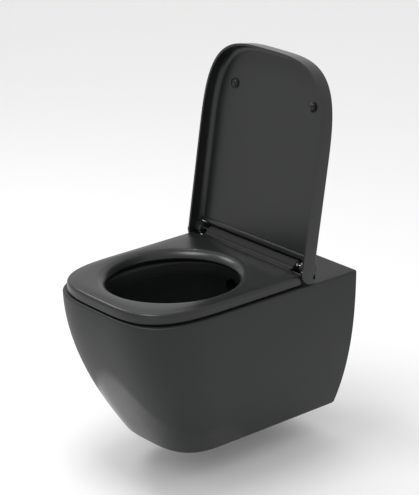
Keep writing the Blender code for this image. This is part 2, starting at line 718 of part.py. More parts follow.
def seat_lift(x, y):
    """The rise of the seat's top towards the hinge lugs at its rear corners."""
    back = AXIS.y - SEAT_REAR
    along = smooth((y - back + 0.050) / 0.045)
    across = 1 - smooth((abs(x) - SEAT_LUG[1]) / 0.022)
    return SEAT_RAMP * along * across


def seat_section(x, y):
    """The seat cut from its outer edge at (x, y) to its opening: a shell with a hollow underside."""
    outer = Vector((x, y))
    inner = opening_point(x, y)
    width = (inner - outer).length
    inward = (inner - outer).normalized()
    wall = SEAT_WALL
    top, under = SEAT_TOP, SEAT_UNDER
    edge = top - SEAT_CROWN
    crest = 0.52 * width
    lip = SEAT_LIP
    low_lip = under + 0.003
    ceiling = top - SEAT_SHELL
    points = [
        (0.0, under), (0.0, edge - SEAT_EDGE),
        (SEAT_EDGE * 0.13, edge - SEAT_EDGE * 0.5), (SEAT_EDGE * 0.5, edge - SEAT_EDGE * 0.13),
        (SEAT_EDGE, edge), (crest * 0.7, top), (crest, top - 0.0002),
        (width * 0.72, top - 0.0022), (width - 2 * lip, top - 0.0052), (width - lip, top - 0.0085),
        (width - 0.25 * lip, low_lip + 0.0065), (width, low_lip + 0.003), (width - 0.12 * lip, low_lip),
        (width - 0.45 * lip, under), (width - lip - 0.002, under),
        (width - lip - 0.003, ceiling - 0.0052), (wall + 0.001, ceiling), (wall, under),
    ]
    section = []
    for distance, z in points:
        place = outer + inward * distance
        rise = seat_lift(place.x, place.y) if z > ceiling + 0.001 else 0.0
        section.append((place.x, place.y, RIM + z + rise))
    return section


def hood_profile(inner):
    """The seat's rear edge in side view: it runs back under the closed lid's lip and rolls over the bar."""
    y, z = AXIS.y, AXIS.z
    outer = HOOD[1]
    crest = RIM + SEAT_TOP
    reach = LID_REAR - 0.0006
    front = [(y - SEAT_REAR - 0.018, crest - 0.0022), (y - SEAT_REAR - 0.012, crest + 0.0002)]
    front += [(y - SEAT_REAR - 0.005, crest + 0.0015), (y - reach, crest + 0.0026)]
    front.append((y - reach + 0.0036, z + 0.0030))
    over = arc((y, z), outer, 138, HOOD_END, 9)
    if inner:
        under = arc((y, z), inner, HOOD_END, 195, 12)
    else:
        under = arc((y, z), outer, HOOD_END - 10, -125, 12)
    low = [(y - SEAT_REAR + 0.001, crest - 0.0075), (y - SEAT_REAR - 0.018, crest - 0.0085)]
    return front + over + under + low


def make_seat():
    seat_axis = axis_empty("seat_axis")
    thick, depth = BUSH
    hole = SHAFT_RADIUS + FIT
    bush = hole + thick
    seat = add("seat", hoop([seat_section(x, y) for x, y in seat_outline()]), "thermoset", seat_axis)
    reach = SEAT_LUG[0] + 0.001
    join(seat, add("hood_guide", plate(hood_profile(HOOD[0]), -reach, reach), None, seat_axis))
    for side, sign in SIDES.items():
        inner, outer = sorted(sign * x for x in SEAT_LUG)
        join(seat, add(f"lug_{side}_guide", plate(hood_profile(None), inner, outer), None, seat_axis))
    for side, sign in SIDES.items():
        inner, outer = sorted(sign * x for x in (SEAT_LUG[0] - OVER, SEAT_LUG[1] + OVER))
        cut(seat, add(f"pin_{side}_cutter", rod(hole, inner, outer, AXIS, "X", 20), None, seat_axis))
        start, end = sorted(sign * x for x in (SEAT_LUG[1] - depth, SEAT_LUG[1] + OVER))
        cut(seat, add(f"bush_{side}_cutter", rod(bush + CLEAR, start, end, AXIS, "X", 24), None, seat_axis))
        start, end = sorted(sign * x for x in (SEAT_LUG[1] - depth + CLEAR, SEAT_LUG[1] + 0.0006))
        add(f"seat_bush_{side}", tube(hole, bush, start, end, AXIS, "X", 24, 0.0005), "steel", seat_axis)
    ceiling = SEAT_TOP - SEAT_SHELL - 0.0055
    rows = {
        "front": (PAN_WIDTH / 2 - BUFFER_FRONT[0], BUFFER_FRONT[1] - PAN_DEPTH),
        "rear": (PAN_WIDTH / 2 - BUFFER_REAR[0], -BUFFER_REAR[1]),
    }
    for row, (x, y) in rows.items():
        for side, sign in SIDES.items():
            centre = (sign * x, y, RIM)
            pad = rod(BUFFER_RADIUS, CLEAR, ceiling, centre, "Z", 24, 0.0010)
            add(f"seat_buffer_{row}_{side}", pad, "rubber", seat_axis)
    return seat_axis


# ---------------------------------------------------------------- lid


def lid_section(inset, back):
    front = AXIS.y - LID_LENGTH + inset
    return bowed_front(LID_HALF_WIDTH - inset, front, LID_CORNER - inset, LID_POWER, back, OUTLINE_STEPS + 2)


def make_lid():
    lid_axis = axis_empty("lid_axis")
    top = RIM + LID_TOP
    low = top - LID_SKIRT
    behind = AXIS.y + HINGE_RISE
    rings = [at(lid_section(0, behind), low - OVER), at(lid_section(0, behind), top - LID_EDGE)]
    for angle in (30, 60, 90):
        turn = math.radians(angle)
        inset = LID_EDGE * (1 - math.cos(turn))
        rings.append(at(lid_section(inset, behind), top - LID_EDGE * (1 - math.sin(turn))))
    lid = add("lid", loft(rings), "thermoset", lid_axis)
    swing = HINGE_RISE - 0.0020
    rise = LID_TOP - HINGE_RISE
    rear_angle = math.degrees(math.asin(rise / swing))
    profile = arc((AXIS.y, AXIS.z), swing, -90, rear_angle, 12)
    profile[0] = (AXIS.y, low)
    profile[-1] = (profile[-1][0], top + OVER)
    far = AXIS.y - LID_LENGTH - OVER
    profile += [(far, top + OVER), (far, low)]
    wide = LID_HALF_WIDTH + OVER
    keep_inside(lid, add("lid_side_guide", plate(profile, -wide, wide), None, lid_axis))
    inner = top - LID_PANEL
    hollow = [at(lid_section(LID_PANEL, behind + OVER), z) for z in (low - 2 * OVER, inner - 0.002)]
    hollow.append(at(lid_section(LID_PANEL + 0.0006, behind + OVER), inner - 0.0006))
    hollow.append(at(lid_section(LID_PANEL + 0.002, behind + OVER), inner))
    cut(lid, add("lid_hollow_cutter", loft(hollow), None, lid_axis))
    side = LID_INSIDE
    rear = block((-side, AXIS.y - LID_REAR, low - OVER), (side, behind + 2 * OVER, top + OVER))
    cut(lid, add("lid_rear_cutter", rear, None, lid_axis))
    thick, deep = LID_LIP
    reach = LID_INSIDE + LID_PANEL / 2
    start = AXIS.y - LID_REAR - thick
    lip = block((-reach, start, inner - deep), (reach, AXIS.y - LID_REAR, inner + 0.002))
    join(lid, add("lid_lip_guide", lip, None, lid_axis))
    for name, sign in SIDES.items():
        start, end = sorted(sign * x for x in (LID_LUG_INNER, side + LID_PANEL / 2))
        boss = rod(LUG_RADIUS, start, end, AXIS, "X", 28)
        join(lid, add(f"lid_lug_{name}_guide", boss, None, lid_axis))
    for name, sign in SIDES.items():
        start, end = sorted(sign * x for x in (LID_LUG_INNER - OVER, side - 0.0025))
        hole = rod(SHAFT_RADIUS + CLEAR, start, end, AXIS, "X", 20)
        cut(lid, add(f"lid_pin_{name}_cutter", hole, None, lid_axis))
    top, down = inner - CLEAR, RIM + SEAT_TOP + 0.0006
    radius = LID_BUFFER_RADIUS
    profile = [(radius - 0.0005, top), (radius, top - 0.0010), (radius, top - 0.0030)]
    profile += [(radius * 0.86, top - 0.0055), (radius * 0.45, down + 0.0004), (radius * 0.25, down)]
    for name, sign in SIDES.items():
        centre = (sign * (LID_HALF_WIDTH - LID_BUFFER_SIDE), AXIS.y - LID_LENGTH + LID_BUFFER_END, 0)
        add(f"lid_buffer_{name}", turned(profile, centre), "rubber", lid_axis)
    return lid_axis


def main():
    for old in list(bpy.data.objects):
        bpy.data.objects.remove(old, do_unlink=True)
    make_pan()
    make_connections()
    make_wall_fixings()
    make_posts()
    carrier = make_hinge_bar()
    make_latches(carrier)
    seat_axis = make_seat()
    lid_axis = make_lid()
    make_dampers(carrier, seat_axis, lid_axis)
    lid_axis.rotation_euler.x = -math.radians(LID_OPEN)


main()
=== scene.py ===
"""A wall-hung toilet in matt anthracite: glazed pan, thermoset seat and lid, hinge and wall fixings."""
import json
import math

import bmesh
import bpy
from mathutils import Matrix, Vector


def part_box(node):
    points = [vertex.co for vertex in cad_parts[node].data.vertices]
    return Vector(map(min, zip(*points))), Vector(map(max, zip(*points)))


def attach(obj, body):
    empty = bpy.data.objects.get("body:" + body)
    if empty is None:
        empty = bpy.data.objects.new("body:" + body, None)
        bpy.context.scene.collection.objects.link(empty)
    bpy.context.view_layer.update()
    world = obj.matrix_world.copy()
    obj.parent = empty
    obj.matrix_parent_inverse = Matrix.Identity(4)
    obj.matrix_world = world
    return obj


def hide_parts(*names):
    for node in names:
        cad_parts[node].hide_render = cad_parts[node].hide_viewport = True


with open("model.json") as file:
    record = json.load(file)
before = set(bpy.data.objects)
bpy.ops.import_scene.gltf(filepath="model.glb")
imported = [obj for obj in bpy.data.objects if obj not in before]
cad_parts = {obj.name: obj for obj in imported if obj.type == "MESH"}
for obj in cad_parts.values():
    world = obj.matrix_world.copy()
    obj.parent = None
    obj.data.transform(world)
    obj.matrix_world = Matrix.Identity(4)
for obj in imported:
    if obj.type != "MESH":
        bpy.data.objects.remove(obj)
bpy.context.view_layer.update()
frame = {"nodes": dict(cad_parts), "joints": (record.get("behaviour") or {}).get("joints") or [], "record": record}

bl_info = {
    "name": "Wall-hung toilet",
    "version": (1, 0, 0),
    "blender": (4, 5, 0),
    "location": "3D View > Sidebar > Toilet",
    "description": "Builds the glazed pan, the seat, the lid and their fittings round the fixed frame",
    "category": "Object",
}

PAN_LOW, PAN_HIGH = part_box("pan")
JOINTS = {joint["name"]: joint for joint in frame["joints"]}
AXIS = Vector(JOINTS["lid_hinge"]["pos_m"])
LID_SWING = math.radians(JOINTS["lid_hinge"]["range_deg"][0])
RIM = PAN_HIGH.z
TINY = 1e-9


# ---------------------------------------------------------------- settings


class PanSettings(bpy.types.PropertyGroup):
    """Sizes of the glazed pan."""

    side_taper: bpy.props.FloatProperty(
        name="Side taper", description="How far each side comes in by the base", default=0.061,
        unit="LENGTH")
    front_taper: bpy.props.FloatProperty(
        name="Front taper", description="How far the front comes back by the base", default=0.130,
        unit="LENGTH")
    rim_edge: bpy.props.FloatProperty(
        name="Rim edge", description="Rounding of the rim's outer edge", default=0.004, unit="LENGTH")
    base_edge: bpy.props.FloatProperty(
        name="Base edge", description="Rounding of the base's edge", default=0.006, unit="LENGTH")
    mouth_edge: bpy.props.FloatProperty(
        name="Mouth edge", description="Rounding where the deck turns down into the bowl", default=0.009,
        unit="LENGTH")
    skin: bpy.props.FloatProperty(
        name="Skin", description="Thickness of the ceramic", default=0.010, unit="LENGTH")


class SeatSettings(bpy.types.PropertyGroup):
    """Sizes of the seat and the lid."""

    top: bpy.props.FloatProperty(
        name="Seat top", description="Height of the seat's crest over the rim", default=0.0262,
        unit="LENGTH")
    rise: bpy.props.FloatProperty(
        name="Rear rise", description="How far the seat's top rises to its rear edge", default=0.0026,
        unit="LENGTH")
    seat_edge: bpy.props.FloatProperty(
        name="Seat edge", description="Rounding of the seat's outer edge", default=0.0075, unit="LENGTH")
    lid_edge: bpy.props.FloatProperty(
        name="Lid edge", description="Rounding of the lid's outer edge", default=0.0035, unit="LENGTH")
    panel: bpy.props.FloatProperty(
        name="Lid panel", description="Thickness of the lid", default=0.0045, unit="LENGTH")
    inner_fillet: bpy.props.FloatProperty(
        name="Lid fillet", description="Fillet between the lid's panel and its skirt", default=0.0120,
        unit="LENGTH")


class FinishSettings(bpy.types.PropertyGroup):
    """Colours of the toilet's materials."""

    glaze: bpy.props.FloatVectorProperty(
        name="Glaze", description="Matt glaze of the pan", subtype="COLOR", size=3,
        default=(0.0118, 0.0126, 0.0126), min=0, max=1)
    thermoset: bpy.props.FloatVectorProperty(
        name="Seat and lid", description="Moulded seat and lid", subtype="COLOR", size=3,
        default=(0.0105, 0.0111, 0.0111), min=0, max=1)
    floor: bpy.props.FloatVectorProperty(
        name="Floor", description="Studio floor", subtype="COLOR", size=3,
        default=(0.94, 0.94, 0.94), min=0, max=1)


# ---------------------------------------------------------------- shader maths


class Wire:
    """A node's output, with the arithmetic that shader maths needs."""

    def __init__(self, finish, socket):
        self.finish = finish
        self.socket = socket

    def maths(self, operation, *others):
        return self.finish.node("ShaderNodeMath", {"operation": operation}, self, *others)

    def __add__(self, other):
        return self.maths("ADD", other)

    __radd__ = __add__

    def __mul__(self, other):
        return self.maths("MULTIPLY", other)

    __rmul__ = __mul__

    def __sub__(self, other):
        return self.maths("SUBTRACT", other)

    def __rsub__(self, other):
        return self * -1 + other

    def __truediv__(self, other):
        return self.maths("DIVIDE", other)

    def ramp(self, low, high):
        """0 below low and 1 above high, smooth between them."""
        settings = {"interpolation_type": "SMOOTHSTEP"}
        return self.finish.node("ShaderNodeMapRange", settings, self, low, high, 0.0, 1.0)


class Finish:
    """A material under construction."""

    def __init__(self, name):
        self.material = bpy.data.materials.new(name)
        self.material.use_nodes = True
        self.tree = self.material.node_tree
        self.surface = self.tree.nodes["Principled BSDF"]

    def node(self, kind, settings, *values, output=0, **named):
        made = self.tree.nodes.new(kind)
        for key, value in settings.items():
            setattr(made, key, value)
        for key, value in list(enumerate(values)) + list(named.items()):
            socket = made.inputs[key]
            if isinstance(value, Wire):
                self.tree.links.new(value.socket, socket)
            elif value is not None:
                socket.default_value = value
        return Wire(self, made.outputs[output])

    def place(self):
        return self.node("ShaderNodeTexCoord", {}, output="Object")

    def along(self, axis):
        return self.node("ShaderNodeSeparateXYZ", {}, self.place(), output=axis)

    def noise(self, scale, detail=2.0, roughness=0.5):
        values = {"Vector": self.place(), "Scale": scale, "Detail": detail, "Roughness": roughness}
        return self.node("ShaderNodeTexNoise", {}, **values)

    def mix(self, share, first, second):
        """A mix of two colours. The node's colour sockets come after five for values and vectors."""
        colours = [part if isinstance(part, Wire) else (*part, 1) for part in (first, second)]
        return self.node("ShaderNodeMix", {"data_type": "RGBA"}, share, *[None] * 5, *colours, output=2)

    def bump(self, height, distance, strength=1.0):
        return self.node("ShaderNodeBump", {}, Height=height, Distance=distance, Strength=strength)

    def set(self, **values):
        for key, value in values.items():
            socket = self.surface.inputs[key.replace("_", " ")]
            if isinstance(value, Wire):
                self.tree.links.new(value.socket, socket)
            else:
                socket.default_value = value
        return self.material


def dark(colour, share):
    return tuple(part * share for part in colour)


BOWL_DEPTHS = RIM - 0.012, RIM - 0.040          # the bowl's smoother glaze fades in between these heights
BOWL_PLAN_CENTRE, BOWL_PLAN_HALF_WIDTH, BOWL_PLAN_HALF_LENGTH = -0.345, 0.150, 0.182


def glaze():
    """Matt anthracite glaze: a fine grain, slow waves of the casting, and a smoother bowl."""
    colour = tuple(bpy.context.scene.toilet_finish.glaze)
    finish = Finish("matt_glaze")
    cloud = finish.noise(18.0, 3.0, 0.55)
    grain = finish.noise(1400.0, 2.0, 0.6)
    speck = finish.noise(520.0, 1.0).ramp(0.62, 0.74)
    depth = finish.along("Z").ramp(*BOWL_DEPTHS)
    inside = bowl_mask(finish) * depth
    tone = finish.mix(cloud, dark(colour, 0.90), dark(colour, 1.12))
    tone = finish.mix(speck * 0.35, tone, dark(colour, 1.6))
    rough = 0.42 + cloud * 0.07 + grain * 0.05 - inside * 0.30
    casting = finish.noise(9.0, 1.0)
    height = casting * 0.9 + grain * 0.02 * (1 - inside * 0.8)
    normal = finish.bump(height, 0.0006, 0.7)
    return finish.set(Base_Color=tone, Roughness=rough, Normal=normal, Specular_IOR_Level=0.34)


def bowl_mask(finish):
    """1 inside the bowl's plan outline and 0 well outside it."""
    across = finish.along("X") / BOWL_PLAN_HALF_WIDTH
    along = (finish.along("Y") - BOWL_PLAN_CENTRE) / BOWL_PLAN_HALF_LENGTH
    away = across * across + along * along
    return 1 - away.ramp(0.80, 1.0)


HOOD_SHADE_FADE = AXIS.y - 0.0180, AXIS.y - 0.0135    # where the seat's skin turns to the hood's coarse one, whose colour is darkened there as painted shade


def thermoset(hooded=False):
    """Moulded seat and lid: an even fine grain under a silky skin, with a coarse hood on the seat whose colour is
    darkened as painted shade.
    """
    colour = tuple(bpy.context.scene.toilet_finish.thermoset)
    finish = Finish("thermoset_with_painted_hood_shade" if hooded else "matt_thermoset")
    cloud = finish.noise(26.0, 2.0, 0.5)
    grain = finish.noise(2100.0, 1.0)
    tone = finish.mix(cloud, dark(colour, 0.94), dark(colour, 1.06))
    rough = 0.24 + cloud * 0.04 + grain * 0.06
    if hooded:
        hood = finish.along("Y").ramp(*HOOD_SHADE_FADE)
        # painted shade: the hood's colour is darkened to stand in for the shade behind the open lid's lip; its
        # higher roughness is the hood's own coarse skin
        tone = finish.mix(hood, tone, dark(colour, 0.15))
        rough = rough + hood * 0.45
    normal = finish.bump(cloud * 0.35 + grain * 0.03, 0.0004, 0.6)
    return finish.set(Base_Color=tone, Roughness=rough, Normal=normal, Specular_IOR_Level=0.42)


def hinge_plastic():
    finish = Finish("hinge_plastic")
    grain = finish.noise(900.0, 3.0)
    tone = finish.mix(grain, (0.007, 0.007, 0.008), (0.012, 0.012, 0.013))
    normal = finish.bump(grain, 0.00006, 0.6)
    return finish.set(Base_Color=tone, Roughness=0.36 + grain * 0.16, Normal=normal)


def rubber():
    finish = Finish("black_rubber")
    grain = finish.noise(1300.0, 3.0)
    cloud = finish.noise(120.0)
    tone = finish.mix(cloud, (0.0025, 0.0025, 0.0025), (0.0055, 0.0055, 0.0053))
    normal = finish.bump(grain, 0.00004, 0.5)
    rough = 0.22 + grain * 0.16
    return finish.set(Base_Color=tone, Roughness=rough, Normal=normal, Specular_IOR_Level=0.35)


def zinc_steel():
    """Zinc-plated steel with its faint crystalline bloom."""
    finish = Finish("zinc_steel")
    bloom = finish.noise(260.0, 4.0, 0.65)
    tone = finish.mix(bloom, (0.42, 0.42, 0.40), (0.62, 0.62, 0.59))
    normal = finish.bump(bloom, 0.00005, 0.5)
    return finish.set(Base_Color=tone, Metallic=1.0, Roughness=0.24 + bloom * 0.2, Normal=normal)


def polished_steel():
    """Polished stainless steel with fine turning marks round the hinge."""
    finish = Finish("polished_steel")
    haze = finish.noise(420.0, 3.0)
    marks = finish.noise(3200.0, 1.0)
    tone = finish.mix(haze, (0.66, 0.66, 0.65), (0.78, 0.78, 0.77))
    normal = finish.bump(marks, 0.00001, 0.4)
    return finish.set(Base_Color=tone, Metallic=1.0, Roughness=0.10 + haze * 0.10, Normal=normal)


def white_plastic():
    finish = Finish("white_plastic")
    grain = finish.noise(700.0, 3.0)
    tone = finish.mix(grain, (0.60, 0.60, 0.58), (0.72, 0.72, 0.70))
    normal = finish.bump(grain, 0.00005, 0.5)
    return finish.set(Base_Color=tone, Roughness=0.38 + grain * 0.12, Normal=normal)


def studio_floor():
    colour = tuple(bpy.context.scene.toilet_finish.floor)
    finish = Finish("studio_floor")
    cloud = finish.noise(3.0)
    tone = finish.mix(cloud, dark(colour, 0.985), colour)
    return finish.set(Base_Color=tone, Roughness=0.7)


MAKERS = {
    "matt_ceramic": glaze,
    "matt_thermoset": thermoset,
    # the seat's finish, with painted shade on its hood
    "thermoset_with_painted_hood_shade": lambda: thermoset(hooded=True),
    "hinge_plastic": hinge_plastic,
    "rubber": rubber,
    "zinc_steel": zinc_steel,
    "polished_steel": polished_steel,
    "white_plastic": white_plastic,
}
_made = {}


def material(slot):
    if slot not in _made:
        _made[slot] = MAKERS[slot]()
    return _made[slot]


# ---------------------------------------------------------------- modelling


def deselect():
    bpy.ops.object.select_all(action="DESELECT")


def activate(piece):
    deselect()
    piece.select_set(True)
    bpy.context.view_layer.objects.active = piece


def edit(piece):
    activate(piece)
    bpy.ops.object.mode_set(mode="EDIT")
    bpy.ops.mesh.select_all(action="DESELECT")
    return bmesh.from_edit_mesh(piece.data)


def leave_edit(piece):
    bmesh.update_edit_mesh(piece.data)
    bpy.ops.object.mode_set(mode="OBJECT")


def pick_rings(mesh, *rings):
    """Selects only the edges between neighbours on rings of vertices, given by their indices."""
    bpy.ops.mesh.select_all(action="DESELECT")
    mesh.verts.ensure_lookup_table()
    for ring in rings:
        for here, after in zip(ring, ring[1:] + ring[:1]):
            for edge in mesh.verts[here].link_edges:
                if edge.other_vert(mesh.verts[here]).index == after:
                    edge.select_set(True)
    mesh.select_flush_mode()


def loft(name, rings, ends="cap"):
    """A skin over rings of points: a circle is put on the first ring and extruded to each that follows.

    ends is cap for two flat ends, or join where the last ring meets the first.
    """
    deselect()
    sides = len(rings[0])
    bpy.ops.mesh.primitive_circle_add(vertices=sides, radius=1.0)
    piece = bpy.context.object
    piece.name = piece.data.name = name
    edit(piece)
    bpy.ops.mesh.select_mode(type="EDGE")
    mesh = bmesh.from_edit_mesh(piece.data)
    mesh.verts.ensure_lookup_table()
    first = ring = list(range(sides))
    for index, point in zip(ring, rings[0]):
        mesh.verts[index].co = point
    for points in rings[1:]:
        pick_rings(mesh, ring)
        bpy.ops.mesh.extrude_region()
        mesh = bmesh.from_edit_mesh(piece.data)
        mesh.verts.ensure_lookup_table()
        mesh.verts.index_update()
        following = []
        for index in ring:
            grown = [e.other_vert(mesh.verts[index]) for e in mesh.verts[index].link_edges]
            following.append(next(v.index for v in grown if v.select and v.index not in ring))
        ring = following
        for index, point in zip(ring, points):
            mesh.verts[index].co = point
    if ends == "cap":
        for loop in (first, ring):
            pick_rings(mesh, loop)
            bpy.ops.mesh.edge_face_add()
            mesh = bmesh.from_edit_mesh(piece.data)
    else:
        pick_rings(mesh, first, ring)
        bpy.ops.mesh.bridge_edge_loops()
    bpy.ops.mesh.select_all(action="SELECT")
    bpy.ops.mesh.normals_make_consistent(inside=False)
    leave_edit(piece)
    return piece


def apply_all(piece):
    activate(piece)
    for modifier in list(piece.modifiers):
        bpy.ops.object.modifier_apply(modifier=modifier.name)


def boolean(piece, tool, operation):
    """Cuts or joins a piece with a tool, which is used up."""
    modifier = piece.modifiers.new(operation.lower(), "BOOLEAN")
    modifier.operation = operation
    modifier.object = tool
    modifier.solver = "MANIFOLD"
    apply_all(piece)
    bpy.data.objects.remove(tool, do_unlink=True)
    return piece


def cut(piece, tool):
    return boolean(piece, tool, "DIFFERENCE")


def join(piece, tool):
    return boolean(piece, tool, "UNION")


def settle(piece, body, slot, node, angle, look=None):
    """Gives a finished piece its finish, its shading, the body it rides on and the node it stands for."""
    activate(piece)
    bpy.ops.object.transform_apply(location=True, rotation=True, scale=True)
    piece.data.materials.clear()
    piece.data.materials.append(material(look or slot))
    bpy.ops.object.shade_smooth_by_angle(angle=math.radians(angle))
    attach(piece, body)
    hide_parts(node)


def ease(value):
    value = min(max(value, 0.0), 1.0)
    return value * value * (3 - 2 * value)


def blend(first, second, share):
    return first + (second - first) * share


def at(points, z):
    """An outline laid at a height."""
    return [(x, y, z) for x, y in points]


def quarter(steps):
    """Pairs of sine and cosine from 0 to 90 degrees."""
    turns = [math.pi / 2 * i / steps for i in range(steps + 1)]
    return [(math.sin(t), math.cos(t)) for t in turns]


def squarish(half_width, front, corner, power, steps):
    """Half of a squarish front, from its tip to the right side. Its rounding reaches back by corner."""
    return [
        (half_width * sine ** (2 / power), front + corner - corner * cosine ** (2 / power))
        for sine, cosine in quarter(steps)
    ]


def bowed_front(half_width, front, corner, power, back, steps=34):
    """A plan outline from the right back corner on: straight back and sides, and a squarish front."""
    side_steps, back_steps = 6, 16
    bow = squarish(half_width, front, corner, power, steps)
    right = [(half_width, blend(back, bow[-1][1], i / side_steps)) for i in range(side_steps)]
    left = [(-x, y) for x, y in right[::-1]]
    rear = [(blend(-half_width, half_width, i / back_steps), back) for i in range(1, back_steps)]
    return right + bow[::-1] + [(-x, y) for x, y in bow[1:]] + left + rear


def oval_like(points, centre, half_width, half_length, power):
    """A squarish oval with a point in the direction of each given point."""
    found = []
    for x, y in points:
        across, along = x / half_width, (y - centre) / half_length
        away = (abs(across) ** power + abs(along) ** power) ** (1 / power)
        found.append((x / away, centre + (y - centre) / away))
    return found


# ---------------------------------------------------------------- pan


PAN_HEIGHT = PAN_HIGH.z - PAN_LOW.z
SIDE_TAPER_POWER, FRONT_TAPER_POWER = 2.48, 1.72
PAN_CORNER = 0.203, 0.120               # how far back the front's rounding reaches, at the rim and the base
PAN_SQUARENESS = 3.66, 3.15             # power of the front's curve, at the rim and the base

BOWL_CENTRE, BOWL_HALF_WIDTH, BOWL_HALF_LENGTH = -0.345, 0.128, 0.160
BOWL_REAR = BOWL_CENTRE + BOWL_HALF_LENGTH
SUMP_CENTRE, SUMP_DEPTH = -0.285, 0.284
BOWL_POWER = 2.3
BOWL_STATIONS = (
    # depth, share of the width, share of the length, shift from the mouth's centre to the sump's
    (0.035, 1.000, 1.000, 0.00),
    (0.09, 0.99, 0.99, 0.00),
    (0.25, 0.945, 0.94, 0.08),
    (0.44, 0.82, 0.82, 0.25),
    (0.62, 0.63, 0.64, 0.50),
    (0.78, 0.44, 0.44, 0.75),
    (0.92, 0.28, 0.28, 0.92),
    (1.00, 0.10, 0.10, 1.00),
)

DECK, BASE_FLOOR, BACK_PLATE = 0.018, 0.012, 0.014      # thicknesses of the ceramic round its hollow
BOWL_WALL, TRAP_WALL = 0.009, 0.008
PAST = 0.010                            # how far a tool reaches past what it cuts

OUTLET_Z, OUTLET_RADIUS = -0.100, 0.043
TRAP_RADIUS, SUMP_FLOOR = 0.028, 0.003
TRAP_SIDES, TRAP_STEPS = 40, 4
TRAP_STRAIGHT = -0.045                  # behind this the passage runs straight out of the back
SPIGOT_RADIUS, SPIGOT_ROOM, SPIGOT_DEPTH = 0.051, 0.062, 0.024

INLET_Z, INLET_RADIUS, INLET_DEPTH = 0.035, 0.0275, 0.055
INLET_WALL = 0.009
FLUSH_RADIUS = 0.018                    # the channel from the inlet into the bowl
FIXING_RADIUS, FIXING_HALF_SPACING, FIXING_DEPTH = 0.0115, 0.090, 0.024
POST_HOLE_RADIUS, POST_HALF_SPACING, POST_HOLE_DEPTH = 0.0070, 0.0775, 0.028
WINDOW_INNER, WINDOW_OUTER, WINDOW_LOW, WINDOW_HIGH = 0.110, 0.1465, -0.120, 0.045
WINDOW_CORNER, WINDOW_DEPTH = 0.012, 0.024
UNDERSIDE_HALF, UNDERSIDE_FRONT, UNDERSIDE_REAR = 0.060, -0.170, -0.050
UNDERSIDE_CORNER, UNDERSIDE_RISE = 0.020, 0.030


def pan_outline(depth, inset=0.0, back=0.0):
    """The pan's outline at a depth under the rim, moved in by inset, with its back at y = back."""
    sizes = bpy.context.scene.toilet_pan
    share = depth / PAN_HEIGHT
    half_width = PAN_HIGH.x - sizes.side_taper * share**SIDE_TAPER_POWER - inset
    front = PAN_LOW.y + sizes.front_taper * share**FRONT_TAPER_POWER + inset
    corner = blend(*PAN_CORNER, share) - inset
    return bowed_front(half_width, front, corner, blend(*PAN_SQUARENESS, share), back)


def bowl_profile(steps):
    """(depth, width share, length share, shift) from the mouth to the sump."""
    last = len(BOWL_STATIONS) - 1
    found = []
    for i in range(steps + 1):
        depth = blend(BOWL_STATIONS[0][0], 1.0, i / steps)
        k = max(j for j in range(last) if BOWL_STATIONS[j][0] <= depth + TINY)
        low, high = BOWL_STATIONS[k], BOWL_STATIONS[k + 1]
        before = BOWL_STATIONS[max(k - 1, 0)]
        after = BOWL_STATIONS[min(k + 2, last)]
        share = (depth - low[0]) / (high[0] - low[0])
        found.append((depth, *(hermite(before, low, high, after, share, part) for part in (1, 2, 3))))
    return found


def hermite(before, low, high, after, share, part):
    """A smooth curve through stations, each a tuple whose first number is its place."""
    span = high[0] - low[0]
    first = (high[part] - before[part]) / max(high[0] - before[0], TINY) * span
    last = (after[part] - low[part]) / max(after[0] - low[0], TINY) * span
    a = 2 * share**3 - 3 * share**2 + 1
    b = share**3 - 2 * share**2 + share
    c = -2 * share**3 + 3 * share**2
    d = share**3 - share**2
    return a * low[part] + b * first + c * high[part] + d * last


def curve(points, per=4):
    """A smooth run of points through the given ones, with per steps between each two."""
    stations = [(i, *point) for i, point in enumerate(points)]
    last = len(points) - 1
    found = []
    for i in range(last * per + 1):
        k = min(i // per, last - 1)
        around = stations[max(k - 1, 0)], stations[k], stations[k + 1], stations[min(k + 2, last)]
        found.append(tuple(hermite(*around, i / per - k, part) for part in range(1, len(points[0]) + 1)))
    return found


def bowl_ring(guide, width, length, shift, wall=0.0):
    """The bowl's outline, moved out by wall, with a point in the direction of each of the guide's."""
    centre = blend(BOWL_CENTRE, SUMP_CENTRE, shift)
    half_width, half_length = BOWL_HALF_WIDTH * width + wall, BOWL_HALF_LENGTH * length + wall
    return oval_like(guide, centre, half_width, half_length, BOWL_POWER)


def bowl_wall():
    """The bowl's outside, from just under the deck to under the sump."""
    guide = pan_outline(0.0, 0.02, -0.1)        # only the directions of its points count
    heights = [RIM - SUMP_DEPTH * depth for depth, *_ in bowl_profile(24)]
    heights[0] = RIM - BOWL_WALL
    heights[-1] -= BOWL_WALL
    rings = [bowl_ring(guide, *shares, BOWL_WALL) for _, *shares in bowl_profile(24)]
    return loft("bowl_wall_tool", [at(ring, z) for ring, z in zip(rings, heights)])


